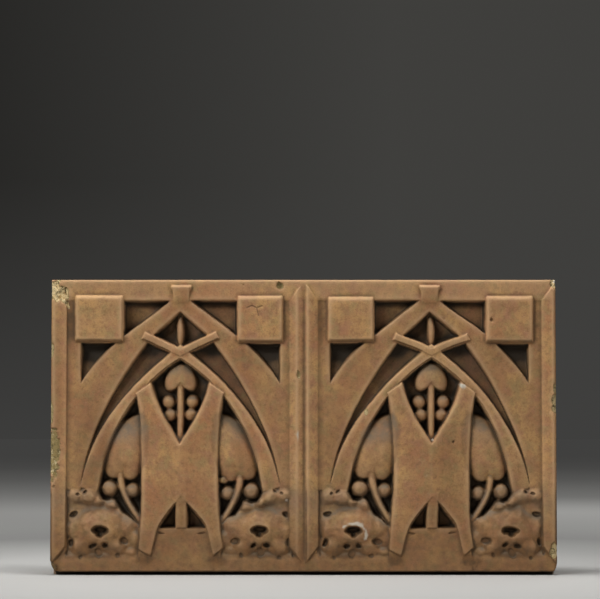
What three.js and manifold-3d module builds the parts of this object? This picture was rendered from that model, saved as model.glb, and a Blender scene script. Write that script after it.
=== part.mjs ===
// A moulded terracotta wall block: two framed panels of pointed-arch tracery with leaves,
// berries and a folded shield, over a hollow back with one upright web.
//
// The relief is laid out with x across the face, y up and z out of the face, in millimetres,
// with z = 0 at the ridges of the upright bars. The finished block is turned to stand on its bed.

import * as THREE from 'three';
import { ConvexGeometry } from 'three/addons/geometries/ConvexGeometry.js';
import { mergeVertices } from 'three/addons/utils/BufferGeometryUtils.js';
import Module from 'manifold-3d';

const wasm = await Module();
wasm.setup();

// Block
const WIDTH = 610;
const HEIGHT = 356;
const DEPTH = 102;
const PROUD = 3;
const BACK = PROUD - DEPTH;
const REBATE_HEIGHT = 4;
const REBATE_FLOOR = -16;

// Levels of the relief
const GROUND = -22;
const ROOT = GROUND - 2;
const FIELD = -4.5;
const CHANNEL = { foot: [110, -6], head: [262, -18] };
const SPANDREL = { foot: [228, -8], head: [268, -21] };
const CLEAR = PROUD + 5;
const OVERLAP = 1;
const SAME_POINT = 0.001;

// Hollow back
const SHELL = 30;
const WEB = 30;
const CELL_FLOOR = -50;
const CELL_RADIUS = 14;
const CELL_DRAFT = 8;
const CELL_SIDES = 16;

// Frame of bands and upright bars; a bar's width and ridge are measured inwards from its outer edge
const TOP_BAND = 25;
const TOP_BAND_LEVELS = [-3.5, -2];
const BOTTOM_BAND = 22;
const BOTTOM_BAND_LEVEL = -3;
const BAR_MITRES = { foot: [13, 35], head: [353, 331] };
const BARS = [
  { edge: -WIDTH / 2, width: 18.2, ridge: 3.5, levels: [-2.2, -2.4] },
  { edge: 0.7, width: -18.2, ridge: -8.7, levels: [-3.8, -4.4] },
  { edge: 0.7, width: 17.3, ridge: 4.3, levels: [-3.8, -4.4] },
  { edge: WIDTH / 2, width: -16.6, ridge: -3.5, levels: [-2.2, -2.4] },
];

// Panels, with the forms below measured from a panel's own axis and the bed; the shield and the
// centre sprig stand a little off the axis in one panel
const PANELS = [{ axis: -149, lean: 0 }, { axis: 152.5, lean: 2 }];
const SIDES = [-1, 1];
const CURVE_STEPS = 8;
const DOME_RINGS = 3;
const BOSS_SIDES = 12;
const HOLE_SIDES = 8;
const STEM_SIDES = 6;
const STEM_STEPS = 6;

// Outer arch
const INTRADOS_APEX = [0, 317.5];
const INTRADOS = [[36, 286.5], [75.4, 234.4], [111.1, 175.7], [120.5, 110]];
const EXTRADOS = [[11.5, 331], [49.5, 300.6], [94.5, 275], [120.5, 230]];
const SPANDREL_SIDE = 121;
const OPENING_FOOT = 18;

// Corner squares and apex tabs, placed on the face, and a tab's rows: height, half-width and level
const SQUARES = [
  { at: [-247.4, 308.5], half: [28.7, 28.4] },
  { at: [-52.7, 308.4], half: [27.2, 28.5] },
  { at: [57.3, 307.5], half: [27.9, 27.6] },
  { at: [249.1, 308], half: [28.4, 28.6] },
];
const SQUARE_LEVEL = 2;
const SQUARE_EDGE = { run: [2, 3.5], fall: 4 };
const TAB_AXES = [-147.9, 152.5];
const TAB_ROWS = [[328, 9.4, -4.2], [342, 10, 0.8], [346, 11.8, 2.4], [349, 11.8, -1.6]];

// Inner ribs, crossing at the crown and running on as straight arms
const RIB_OUTER = [[0, 277], [115.5, 187.7], [112.8, 126], [121.5, 105]];
const RIB_INNER = [[0, 261], [55.2, 226.2], [88, 176.8], [100, 100]];
const RIB_LEVELS = { crown: [268, -1.4], foot: [110, -4.2] };
const ARM = { from: [-3, 266.6], to: [45, 289], width: 9.2, levels: [-0.7, -0.7], chamfer: 1 };

// Shield folded along the panel axis
const SHIELD_NOTCH = [[0, 157], [15.5, 181.5], [30, 203.7], [35.5, 231]];
const SHIELD_HALVES = [
  {
    hand: -1,
    side: [[53.5, 219], [42.5, 187.3], [44, 87.7], [50.5, 31]],
    leg: [[35, 23.5], [26.6, 60.7], [30.9, 54.2], [-1.5, 95]],
  },
  {
    hand: 1,
    side: [[53, 219], [43, 189.8], [42.5, 77.4], [53, 33]],
    leg: [[40.5, 23], [29.4, 66.2], [41.4, 50.1], [1.5, 95]],
  },
];
const SHIELD_FALL = 5 / 46;
const LEG_BAR = { from: [2, 52], to: [2, 97], width: 13.4, levels: [-3, 1.9], chamfer: 0.8 };
const APRON = { half: 50, top: [56, -3.8], foot: [22, -3] };

// Centre sprig
const FINIAL = { at: [0, 293.5], size: [4.6, 18], shoulder: -14, crown: -7 };
const CENTRE_SIDE = [[0, 26.2], [26.9, 19.6], [23, -19.6], [4.6, -4.3]];
const CENTRE_LEAF = {
  notch: [0, 229], lean: 0, outer: CENTRE_SIDE, inner: CENTRE_SIDE.map(([x, y]) => [-x, y]),
  middle: 5, shoulder: -12.5, crown: -4,
};
const CENTRE_STEM = { from: [0, 150], to: [0, 233], width: 7.4, levels: [-6, -6], chamfer: 1.6 };
const CENTRE_BERRIES = [{ at: [14.5, 208.4], radius: 8 }, { at: [12.7, 192.6], radius: 7.8 }];

// Side sprigs, of which the one on the right of a panel hangs its berries lower
const SIDE_LEAF = {
  notch: [71, 118.5], lean: 20,
  outer: [[0, 80], [43.5, 66.5], [32.5, -20], [5.7, -4.7]],
  inner: [[0, 80], [-20.8, 62.3], [-31.7, -6.5], [-4.6, -1]],
  middle: 28, shoulder: -14, crown: -3,
};
const SIDE_STEM = { path: [[72, 121], [72, 100], [62, 83], [47, 63]], radius: 4.2, level: -11.5 };
const SIDE_BERRIES = [{ at: [86, 103.5], radius: 10 }, { at: [57.2, 101.5], radius: 8.8 }];
const SIDE_BERRY_DROP = 3.5;
const BERRY_CENTRE = -15;

// Curled corner leaves: lobes raised over a low bed, and the holes between them
const LEAF_BED = [
  [139, 14], [139, 106], [108, 107], [98, 97], [88, 89], [78, 90], [68, 73], [58, 67.5], [46, 57], [46, 14],
];
const LEAF_BED_LEVEL = -7.5;
const LEAF_SHOULDER = -10;
const LEAF_LOBES = [
  { at: [97, 55], size: [39, 29], crown: 2.8 },
  { at: [127, 52], size: [12, 17], crown: -1.8 },
  { at: [118, 34], size: [15, 17], crown: -0.6 },
  { at: [79, 34], size: [15, 17], crown: -0.6 },
  { at: [118, 95], size: [21, 12], crown: -0.6 },
  { at: [82, 83], size: [10, 7], crown: -3 },
  { at: [60, 42], size: [14, 17], crown: -3.8 },
];
const LEAF_HOLES = [
  { at: [96.5, 53.2], size: [10.5, 4.6], floor: -12 },
  { at: [128.5, 73], size: [6.5, 3], floor: -12 },
  { at: [131, 39.5], size: [3, 5.5], floor: -11 },
  { at: [105, 35], size: [6, 3.6], floor: -9 },
  { at: [90, 35.5], size: [5, 3.6], floor: -8.5 },
  { at: [67, 40.5], size: [8, 6], floor: -8 },
];

// Chips broken out of the arrises: centre and half-sizes
const CHIPS = [
  { at: [-306, 340, -4], size: [9, 13, 7] },
  { at: [-307, 267, -4], size: [5, 10, 6] },
  { at: [-307, 140, -4], size: [5, 25, 6] },
  { at: [-306, 8, -4], size: [8, 10, 9] },
  { at: [306, 353, -3], size: [6, 9, 8] },
  { at: [306, 28, -4], size: [6, 11, 6] },
  { at: [307, 205, -4], size: [4, 12, 6] },
];

const level = (height) => () => height;
const ramp = ([y0, z0], [y1, z1]) => (x, y) => z0 + (z1 - z0) * (y - y0) / (y1 - y0);
const mixed = ([start, end], share) => start + (end - start) * share;

// A closed geometry as a solid that can be joined and cut.
function solid(geometry) {
  const bare = new THREE.BufferGeometry();
  bare.setAttribute('position', geometry.getAttribute('position'));
  bare.setIndex(geometry.getIndex());
  const merged = mergeVertices(bare, SAME_POINT);
  const vertProperties = Float32Array.from(merged.getAttribute('position').array);
  const triVerts = Uint32Array.from(merged.getIndex().array);
  return new wasm.Manifold(new wasm.Mesh({ numProp: 3, vertProperties, triVerts }));
}

// Points measured from a panel axis, set on the face and mirrored for the left half (side -1).
function placed(points, axis, side = 1) {
  const set = points.map(([x, y]) => new THREE.Vector2(axis + side * x, y));
  return side < 0 ? set.reverse() : set;
}

function bezier(controls, steps = CURVE_STEPS) {
  const curve = new THREE.CubicBezierCurve(...controls.map(([x, y]) => new THREE.Vector2(x, y)));
  return curve.getPoints(steps).map((point) => [point.x, point.y]);
}

function ellipse([x, y], [rx, ry], count) {
  return Array.from({ length: count }, (_, i) => {
    const turn = 2 * Math.PI * i / count;
    return [x + rx * Math.cos(turn), y + ry * Math.sin(turn)];
  });
}

function rectangle(x0, y0, x1, y1) {
  return [[x0, y0], [x1, y0], [x1, y1], [x0, y1]].map(([x, y]) => new THREE.Vector2(x, y));
}

// An outline raised from a low level to a top that may slope.
function prism(outline, low, top) {
  const geometry = new THREE.ExtrudeGeometry(new THREE.Shape(outline), { depth: 1, bevelEnabled: false });
  const place = geometry.getAttribute('position');
  for (let i = 0; i < place.count; i += 1) {
    place.setZ(i, place.getZ(i) > 0.5 ? top(place.getX(i), place.getY(i)) : low);
  }
  return solid(geometry);
}

const hull = (points) => solid(new ConvexGeometry(points.map((point) => new THREE.Vector3(...point))));

// A rounded boss over an outline that runs counter-clockwise: an upright skirt up to the
// shoulder, then rings that close in on the crown along a quarter circle.
function dome(outline, centre, shoulder, crown) {
  const count = outline.length;
  const vertices = outline.map((point) => [point.x, point.y, ROOT]);
  for (let ring = 0; ring < DOME_RINGS; ring += 1) {
    const turn = 0.5 * Math.PI * ring / DOME_RINGS;
    const spread = Math.cos(turn);
    const height = shoulder + (crown - shoulder) * Math.sin(turn);
    outline.forEach((point) => vertices.push([
      centre.x + (point.x - centre.x) * spread,
      centre.y + (point.y - centre.y) * spread,
      height,
    ]));
  }
  const foot = vertices.push([centre.x, centre.y, ROOT]) - 1;
  const top = vertices.push([centre.x, centre.y, crown]) - 1;
  const faces = [];
  const last = DOME_RINGS * count;
  for (let i = 0; i < count; i += 1) {
    const next = (i + 1) % count;
    faces.push(foot, next, i);
    for (let ring = 0; ring < DOME_RINGS; ring += 1) {
      const low = ring * count;
      const high = low + count;
      faces.push(low + i, low + next, high + next, low + i, high + next, high + i);
    }
    faces.push(last + i, last + next, top);
  }
  const geometry = new THREE.BufferGeometry();
  geometry.setAttribute('position', new THREE.Float32BufferAttribute(vertices.flat(), 3));
  geometry.setIndex(faces);
  return solid(geometry);
}

// A straight bar with chamfered long edges, with a level for each end of its top.
function chamferedBar({ from, to, width, levels, chamfer }, axis, side = 1) {
  const [start, end] = [from, to].map(([x, y]) => new THREE.Vector2(axis + side * x, y));
  const across = end.clone().sub(start).normalize().rotateAround(new THREE.Vector2(), Math.PI / 2);
  const section = (top) => [[width / 2, ROOT], [width / 2, top - chamfer], [width / 2 - chamfer, top]];
  const edges = [start, end].flatMap((point, i) => (
    section(levels[i]).map(([reach, z]) => ({ point, reach, z }))
  ));
  return hull(edges.flatMap(({ point, reach, z }) => SIDES.map((hand) => [
    point.x + hand * reach * across.x,
    point.y + hand * reach * across.y,
    z,
  ])));
}

function body() {
  const half = WIDTH / 2;
  return prism(rectangle(-half, 0, half, HEIGHT), BACK, level(GROUND));
}

// Flat field of both panels, open in the spandrels and under the outer arch; its edges end under
// the frame.
function field() {
  const inset = WIDTH / 2 - BARS[0].width / 2;
  const head = HEIGHT - TOP_BAND / 2;
  const plate = prism(rectangle(-inset, REBATE_HEIGHT, inset, head), ROOT, level(FIELD));
  const spring = INTRADOS[3][0];
  const right = [[spring, OPENING_FOOT], ...bezier(INTRADOS).reverse()];
  const left = right.map(([x, y]) => [-x, y]).reverse();
  const opening = [...right, INTRADOS_APEX, ...left];
  const spandrel = [...bezier(EXTRADOS), [SPANDREL_SIDE, EXTRADOS[0][1]]];
  const holes = PANELS.flatMap(({ axis }) => [
    placed(opening, axis),
    ...SIDES.map((side) => placed(spandrel, axis, side)),
  ]);
  return holes.reduce((rest, hole) => rest.subtract(prism(hole, ROOT - OVERLAP, level(CLEAR))), plate);
}

function bands() {
  const half = WIDTH / 2;
  const [inner, outer] = TOP_BAND_LEVELS;
  const foot = HEIGHT - TOP_BAND;
  return [
    prism(rectangle(-half, foot, half, HEIGHT), ROOT, ramp([foot, inner], [HEIGHT, outer])),
    prism(rectangle(-half, 0, half, BOTTOM_BAND), ROOT, level(BOTTOM_BAND_LEVEL)),
  ];
}

// Ridged uprights with mitred ends: one at each end of the block, two at the middle.
function bars() {
  return BARS.map(({ edge, width, ridge, levels: [outer, inner] }) => {
    const lines = [[0, outer], [ridge / width, 0], [1, inner]];
    return hull(lines.flatMap(([share, z]) => Object.values(BAR_MITRES).flatMap((mitre) => {
      const x = edge + width * share;
      const y = mixed(mitre, share);
      return [[x, y, z], [x, y, ROOT]];
    })));
  });
}

function square({ at, half }) {
  const corners = (inset, z) => SIDES.flatMap((i) => SIDES.map((j) => [
    at[0] + i * (half[0] - inset[0]),
    at[1] + j * (half[1] - inset[1]),
    z,
  ]));
  return hull([
    ...corners([0, 0], ROOT),
    ...corners([0, 0], SQUARE_LEVEL - SQUARE_EDGE.fall),
    ...corners(SQUARE_EDGE.run, SQUARE_LEVEL),
  ]);
}

// Wedge over the apex of the arch, leaning forward to a blunt lip.
function tab(axis) {
  return hull(TAB_ROWS.flatMap(([y, half, z]) => SIDES.flatMap((side) => {
    const x = axis + side * half;
    return [[x, y, z], [x, y, ROOT]];
  })));
}

function rib(axis, side) {
  const outline = [...bezier(RIB_OUTER), ...bezier(RIB_INNER).reverse()];
  return prism(placed(outline, axis, side), ROOT, ramp(RIB_LEVELS.crown, RIB_LEVELS.foot));
}

// Raised floor of the channel between the outer arch and the rib.
function channelFloor(axis, side) {
  const outline = [...bezier(RIB_OUTER), ...bezier(INTRADOS).reverse()].reverse();
  return prism(placed(outline, axis, side), ROOT, ramp(CHANNEL.foot, CHANNEL.head));
}

// Sloping floor in the foot of a spandrel.
function spandrelFloor(axis, side) {
  const [head] = SPANDREL.head;
  const outline = [...bezier(EXTRADOS).filter(([, y]) => y < head), [SPANDREL_SIDE, head]];
  return prism(placed(outline, axis, side), ROOT, ramp(SPANDREL.foot, SPANDREL.head));
}

function shieldHalf({ hand, side, leg }, axis) {
  const outline = [...bezier(SHIELD_NOTCH), ...bezier(side), ...bezier(leg)];
  const fold = (x) => PROUD - SHIELD_FALL * Math.abs(x - axis);
  return prism(placed(outline, axis, hand), ROOT, fold);
}

function apron(axis) {
  const outline = rectangle(axis - APRON.half, APRON.foot[0] - OVERLAP, axis + APRON.half, APRON.top[0]);
  return prism(outline, ROOT, ramp(APRON.top, APRON.foot));
}

// Spade-shaped leaf: each side of its outline runs from the tip to a lobe beside the notch.
function spadeLeaf({ notch, lean, outer, inner, middle, shoulder, crown }, axis, side = 1) {
  const [tip, ...outerSide] = bezier(outer);
  const outline = [tip, ...bezier(inner).slice(1), [0, 0], ...outerSide.reverse()];
  const turn = THREE.MathUtils.degToRad(lean);
  const turned = [...outline, [0, middle]].map(([x, y]) => [
    notch[0] + x * Math.cos(turn) - y * Math.sin(turn),
    notch[1] + x * Math.sin(turn) + y * Math.cos(turn),
  ]);
  const centre = placed([turned.pop()], axis, side)[0];
  return dome(placed(turned, axis, side), centre, shoulder, crown);
}

function roundBoss({ at, size, shoulder, crown }, axis, side = 1) {
  const [centre] = placed([at], axis, side);
  return dome(placed(ellipse(at, size, BOSS_SIDES), axis, side), centre, shoulder, crown);
}

function berry({ at: [x, y], radius }, axis, side, drop = 0) {
  const shape = { at: [x, y - drop], size: [radius, radius] };
  return roundBoss({ ...shape, shoulder: BERRY_CENTRE, crown: BERRY_CENTRE + radius }, axis, side);
}

function curvedStem({ path, radius, level: height }, axis, side) {
  const controls = path.map(([x, y]) => new THREE.Vector3(axis + side * x, y, height));
  const section = new THREE.Shape(placed(ellipse([0, 0], [radius, radius], STEM_SIDES), 0));
  const extrudePath = new THREE.CubicBezierCurve3(...controls);
  return solid(new THREE.ExtrudeGeometry(section, { steps: STEM_STEPS, extrudePath }));
}

function leafHole({ at, size, floor }, axis, side) {
  return prism(placed(ellipse(at, size, HOLE_SIDES), axis, side), floor, level(CLEAR));
}

function panel({ axis, lean }) {
  const leaning = axis + lean;
  const centred = [
    ...SHIELD_HALVES.map((each) => shieldHalf(each, leaning)),
    chamferedBar(LEG_BAR, axis),
    apron(axis),
    roundBoss(FINIAL, leaning),
    spadeLeaf(CENTRE_LEAF, leaning),
    chamferedBar(CENTRE_STEM, leaning),
  ];
  const paired = SIDES.flatMap((side) => [
    channelFloor(axis, side),
    spandrelFloor(axis, side),
    rib(axis, side),
    chamferedBar(ARM, axis, side),
    spadeLeaf(SIDE_LEAF, axis, side),
    curvedStem(SIDE_STEM, axis, side),
    ...CENTRE_BERRIES.map((each) => berry(each, leaning, side)),
    ...SIDE_BERRIES.map((each) => berry(each, axis, side, side > 0 ? SIDE_BERRY_DROP : 0)),
    prism(placed(LEAF_BED, axis, side), ROOT, level(LEAF_BED_LEVEL)),
    ...LEAF_LOBES.map((lobe) => roundBoss({ ...lobe, shoulder: LEAF_SHOULDER }, axis, side)),
  ]);
  return [...centred, ...paired];
}

// One open cell of the hollow back, rounded at its corners and drafted to its floor.
function backCell(side) {
  const near = WEB / 2;
  const far = WIDTH / 2 - SHELL;
  const centre = [side * (near + far) / 2, HEIGHT / 2];
  const reach = [(far - near) / 2 - CELL_RADIUS, HEIGHT / 2 - SHELL - CELL_RADIUS];
  const ring = (radius, z) => ellipse([0, 0], [radius, radius], CELL_SIDES).map(([x, y]) => [
    centre[0] + Math.sign(Math.round(x)) * reach[0] + x,
    centre[1] + Math.sign(Math.round(y)) * reach[1] + y,
    z,
  ]);
  return hull([...ring(CELL_RADIUS, BACK - OVERLAP), ...ring(CELL_RADIUS - CELL_DRAFT, CELL_FLOOR)]);
}

function rebate() {
  const reach = WIDTH / 2 + OVERLAP;
  return prism(rectangle(-reach, -OVERLAP, reach, REBATE_HEIGHT), REBATE_FLOOR, level(CLEAR));
}

function chip({ at, size }) {
  return solid(new THREE.IcosahedronGeometry(1, 1).scale(...size).translate(...at));
}

function block() {
  const frame = [body(), field(), ...bands(), ...bars()];
  const raised = [...frame, ...SQUARES.map(square), ...TAB_AXES.map(tab), ...PANELS.flatMap(panel)];
  const holes = PANELS.flatMap(({ axis }) => SIDES.flatMap((side) => (
    LEAF_HOLES.map((hole) => leafHole(hole, axis, side))
  )));
  const cuts = [...holes, ...SIDES.map(backCell), rebate(), ...CHIPS.map(chip)];
  const whole = raised.reduce((sum, each) => sum.add(each));
  return cuts.reduce((rest, each) => rest.subtract(each), whole);
}

function geometryOf(shape) {
  const { vertProperties, triVerts } = shape.getMesh();
  const geometry = new THREE.BufferGeometry();
  geometry.setAttribute('position', new THREE.Float32BufferAttribute(vertProperties, 3));
  geometry.setIndex(Array.from(triVerts));
  geometry.computeVertexNormals();
  return geometry;
}

const terracotta = new THREE.MeshStandardMaterial({ color: 0xa07855, roughness: 0.85, metalness: 0 });
const mesh = new THREE.Mesh(geometryOf(block()), terracotta);
mesh.name = 'terracotta_block';
mesh.rotation.x = Math.PI / 2;
mesh.position.y = PROUD - DEPTH / 2;

const part = new THREE.Group();
part.add(mesh);

export default part;
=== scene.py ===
"""Looks of a moulded terracotta wall block with two panels of pointed-arch tracery.

The carved face is worked out as a height map from the same sizes as the solid, in millimetres:
x runs across the face, z runs up from the bed, and height is measured out of the face from the
ridges of the upright bars. The face, the sides and the hollow back are joined into one closed mesh.
"""

import math

import bpy
import numpy as np
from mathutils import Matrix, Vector


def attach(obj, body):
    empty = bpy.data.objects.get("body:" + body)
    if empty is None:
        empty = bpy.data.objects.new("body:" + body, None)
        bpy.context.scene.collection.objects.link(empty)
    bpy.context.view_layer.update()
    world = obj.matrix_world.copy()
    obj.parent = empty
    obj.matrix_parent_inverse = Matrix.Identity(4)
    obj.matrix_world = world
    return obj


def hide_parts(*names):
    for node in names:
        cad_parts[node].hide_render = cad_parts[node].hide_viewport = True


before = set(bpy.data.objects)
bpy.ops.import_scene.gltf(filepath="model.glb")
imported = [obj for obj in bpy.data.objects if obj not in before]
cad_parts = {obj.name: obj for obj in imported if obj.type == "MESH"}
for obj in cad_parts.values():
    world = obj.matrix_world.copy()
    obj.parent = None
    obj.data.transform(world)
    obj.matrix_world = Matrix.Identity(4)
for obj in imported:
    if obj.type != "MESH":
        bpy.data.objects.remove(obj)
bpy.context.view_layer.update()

MM = 0.001

# Block
WIDTH = 610
HEIGHT = 356
DEPTH = 102
PROUD = 3
BACK = PROUD - DEPTH
MID_DEPTH = PROUD - DEPTH / 2
REBATE_HEIGHT = 4
REBATE_FLOOR = -16

# Levels of the relief
GROUND = -22
CHANNEL = ((110, -6), (262, -18))
SPANDREL = ((228, -8), (268, -21))
FIELD = -4.5

# Hollow back
SHELL = 30
WEB = 30
CELL_FLOOR = -50
CELL_RADIUS = 14
CELL_DRAFT = 8
CELL_SOFTNESS = 5
CELL_ROUGHNESS = 1.2
RIM_SOFTNESS = 2
RIM_ROUGHNESS = 0.5

# Frame of bands and upright bars
TOP_BAND = 25
TOP_BAND_FOOT = HEIGHT - TOP_BAND
TOP_BAND_LEVELS = (-3.5, -2)
BOTTOM_BAND = 22
BOTTOM_BAND_LEVEL = -3
BAR_MITRES = {"foot": (13, 35), "head": (353, 331)}
BAR_OVERRUN = 20
BARS = (
    {"edge": -305, "width": 18.2, "ridge": 3.5, "levels": (-2.2, -2.4)},
    {"edge": 0.7, "width": -18.2, "ridge": -8.7, "levels": (-3.8, -4.4)},
    {"edge": 0.7, "width": 17.3, "ridge": 4.3, "levels": (-3.8, -4.4)},
    {"edge": 305, "width": -16.6, "ridge": -3.5, "levels": (-2.2, -2.4)},
)

# Panels, with everything below measured from a panel's own axis and the bed
PANEL_AXES = (-149, 152.5)
RIGHT_PANEL_LEAN = 2.2
RIGHT_ARM_DROP = 2.4
LEAN_ZONE = {"across": (95, 60), "top": (322, 296), "foot": (60, 110)}
ARM_ZONE = {"across": (8, 42), "up": (268, 284)}

# Outer arch
INTRADOS_APEX = (0, 317.5)
INTRADOS = ((36, 286.5), (75.4, 234.4), (111.1, 175.7), (120.5, 110))
EXTRADOS = ((11.5, 331), (49.5, 300.6), (94.5, 275), (120.5, 230))
SPANDREL_SIDE = 121
OPENING_FOOT = (137, 18)
OPENING_SHOULDER = 102

# Corner squares and apex tabs, placed on the face, and a tab's rows: height, half-width and level
SQUARES = (
    {"at": (-247.4, 308.5), "half": (28.7, 28.4)},
    {"at": (-52.7, 308.4), "half": (27.2, 28.5)},
    {"at": (57.3, 307.5), "half": (27.9, 27.6)},
    {"at": (249.1, 308), "half": (28.4, 28.6)},
)
SQUARE_LEVEL = 2
SQUARE_EDGES = ((3, 3), (5.5, 5))
TAB_AXES = (-147.9, 152.5)
TAB_ROWS = ((328, 9.4, -4.2), (342, 10, 0.8), (345.5, 11.8, 2.4), (349, 11.8, 2.4))
TAB_EDGE = (3, 4)

# Inner ribs, crossing at the crown and running on as straight arms
RIB_OUTER = ((0, 277), (115.5, 187.7), (112.8, 126), (121.5, 105))
RIB_INNER = ((0, 261), (55.2, 226.2), (88, 176.8), (100, 100))
RIB_LEVELS = ((268, -1.4), (110, -4.2))
ARM = {"from": (-3, 266.6), "to": (45, 289), "width": 9.2, "level": -0.7, "chamfer": 1}

# Shield folded along the panel axis
SHIELD_NOTCH = ((0, 157), (15.5, 181.5), (30, 203.7), (35.5, 231))
SHIELD_SIDES = {
    "left": ((53.5, 219), (42.5, 187.3), (44, 87.7), (50.5, 31)),
    "right": ((53, 219), (43, 189.8), (42.5, 77.4), (53, 33)),
}
SHIELD_LEGS = {
    "left": ((35, 23.5), (26.6, 60.7), (30.9, 54.2), (-1.5, 95)),
    "right": ((40.5, 23), (29.4, 66.2), (41.4, 50.1), (1.5, 95)),
}
SHIELD_FALLS = ((25, 3 / 46), (60, 4.6 / 46), (150, 5 / 46), (205, 2.4 / 46))
SHIELD_FOLD_SOFTNESS = 0.4
LEG_BAR = {"from": (2, 56), "to": (2, 100), "width": 13.4, "chamfer": 0.8}
LEG_BAR_LEVELS = ((60, -2.6), (90, 2.6))
APRON = {"half": 50, "top": (56, -3.8), "foot": (22, -3)}
APRON_NICKS = (((-23, 50), (4.4, 1), -6), ((26.5, 50), (4.4, 1), 8))
APRON_NICK_DEPTH = 2.4
APRON_NICK_EDGE = (1.3, 0.6)

# Centre sprig
FINIAL = {"at": (0, 293.5), "size": (4.6, 18), "shoulder": -14, "crown": -7}
CENTRE_SIDE = ((0, 26.2), (26.9, 19.6), (23, -19.6), (4.6, -4.3))
CENTRE_LEAF = {
    "notch": (0, 229), "lean": 0, "outer": CENTRE_SIDE, "inner": tuple((-x, z) for x, z in CENTRE_SIDE),
    "middle": 5, "skirt": 20, "shoulder": -12.5, "crown": -4,
}
CENTRE_STEM = {"from": (0, 150), "to": (0, 233), "width": 7.4, "level": -6}
CENTRE_BERRIES = (((14.5, 208.4), 8), ((12.7, 192.6), 7.8))

# Side sprigs
SIDE_LEAF = {
    "notch": (71, 118.5), "lean": 20,
    "outer": ((0, 80), (43.5, 66.5), (32.5, -20), (5.7, -4.7)),
    "inner": ((0, 80), (-20.8, 62.3), (-31.7, -6.5), (-4.6, -1)),
    "middle": 28, "skirt": 28, "shoulder": -14, "crown": -3,
}
SIDE_STEM = {"path": ((72, 121), (72, 100), (62, 83), (47, 63)), "radius": 4.2, "level": -11.5}
SIDE_BERRIES = (((86, 103.5), 10), ((57.2, 101.5), 8.8))
BERRY_CENTRE = -15
SPADE_ROUNDNESS = 1.75

# How much lower the right-hand sprig of a panel hangs, and the heights between which that sets in
SIDE_DROP = 3.5
SIDE_DROP_BLEND = 10
SIDE_DROP_HEIGHTS = (170, 125)
SIDE_LEAF_SHARE = 0.6

# Curled corner leaves: lobes raised over a low bed, and the holes between them
LEAF_BED = (
    (139, 14), (139, 106), (128, 108), (118, 106), (108, 108), (101, 104), (98, 97), (94, 91), (88, 89),
    (82, 91), (78, 90), (75.5, 86), (73, 80), (68, 73), (62, 70), (58, 67.5), (52, 61), (46, 57), (46, 14),
)
LEAF_BED_LEVEL = -7.5
LEAF_SHOULDER = -12
LEAF_LOBES = (
    ((97, 55), (43, 34), 3),
    ((119, 34), (18, 20), -0.6),
    ((77, 34), (18, 20), -0.8),
    ((128, 56), (13, 21), -2.5),
    ((66, 56), (16, 19), -3),
    ((126, 96), (15, 14), -0.8),
    ((110, 95), (16, 14), -0.2),
    ((98, 90), (12, 11), -2.5),
    ((82, 84), (13, 9), -3),
    ((56, 42), (14, 18), -3.8),
    ((60, 27), (17, 10), -4),
)
LEAF_SHIFTS = ((0, 0.5), (3.5, -0.5))
LEAF_BLEND = 2.5
LEAF_WANDER = 1.4
LEAF_WANDER_CELL = 18
LEAF_ROUGHNESS = 0.7
LEAF_DROP_ZONE = {"up": (62, 85), "across": (112, 98)}
LEAF_HOLES = (
    ((96.5, 53.2), (9.6, 4.3), 0, -12),
    ((97, 48.5), (4, 3.6), 0, -9.5),
    ((128.5, 73), (7.2, 3.8), -25, -12),
    ((131, 39.5), (3.6, 6.8), 12, -11),
    ((135, 46.5), (2, 2.4), 0, -9),
    ((105, 35), (6, 3.6), -15, -9),
    ((90, 35.5), (5, 3.6), 30, -8.5),
    ((98, 26.5), (8, 9), 0, -6.5),
    ((67, 40.5), (8, 6), 12, -8),
    ((120, 21.5), (4, 3), 0, -5.5),
    ((75, 24), (4.5, 4), 0, -5.5),
    ((136, 26), (2.4, 5.5), -10, -7),
    ((115, 100), (1.6, 4.2), 52, -8),
    ((123, 98), (3, 2.6), 0, -4.5),
)
HOLE_WANDER = 1.2
HOLE_WANDER_CELL = 8
HOLE_FLOOR_REACH = 0.55
HOLE_FAR = 2
HOLE_SOFTNESS = 1.6

# A broken lobe, placed on the face
BROKEN_LUMP = {
    "at": (-97.5, 113.5), "size": (5, 4.6), "shoulder": -13, "crown": -6.5, "skirt": 4, "ragged": 0.25,
}

# Fineness of the height map
COLUMNS = 764
ROWS = 440
PIECE_TRIANGLES = 186000

# Sides of raised forms: how steeply they fall, and how softly they meet their tops and the ground
WALL_SLOPE = 7
HOLE_SLOPE = 24
BAR_SLOPE = 2.2
TAB_SLOPE = 5
BOTTOM_BAND_SLOPE = 0.6
BOTTOM_BAND_SOFTNESS = 4
FLOOR_SLOPE = 2
FLOOR_SOFTNESS = 3
FLOOR_OVERLAP = 2
ARRIS = 1.2
FILLET = 1.4
BAR_FILLET = 0.6
SOFT = 1
CRISP = 0.8
STEEP = (0.7, 0.4)

# Unevenness left by the hand and the kiln, as reaches and sizes
HAND_SWAY = {"across": 0.7, "up": 0.6, "cell": 65}
HAND_SHAKE = {"reach": 0.15, "cell": 5}
GROUND_ROUGHNESS = {"reach": 0.9, "cell": 16}
SURFACE_UNEVENNESS = ((0.25, 24, 6), (0.12, 8, 7), (0.06, 2.6, 8))
BARE_GROUND = (2.5, 0.5)

# Rounding of the outer arrises of the face
TOP_ROUND = 3
FOOT_ROUND = 2
END_ROUND = 1.6


def mixed(low, high, share):
    return low + (high - low) * share


def smooth_step(low, high, value):
    share = np.clip((value - low) / (high - low), 0, 1)
    return share * share * (3 - 2 * share)


def smooth_max(first, second, blend):
    near = np.maximum(blend - np.abs(first - second), 0) / blend
    return np.maximum(first, second) + near * near * blend / 4


def smooth_min(first, second, blend):
    return -smooth_max(-first, -second, blend)


def ramp(start, end, value):
    """Straight line through two (place, level) pairs, level beyond them."""
    return np.interp(value, *zip(*sorted((start, end))))


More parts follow.
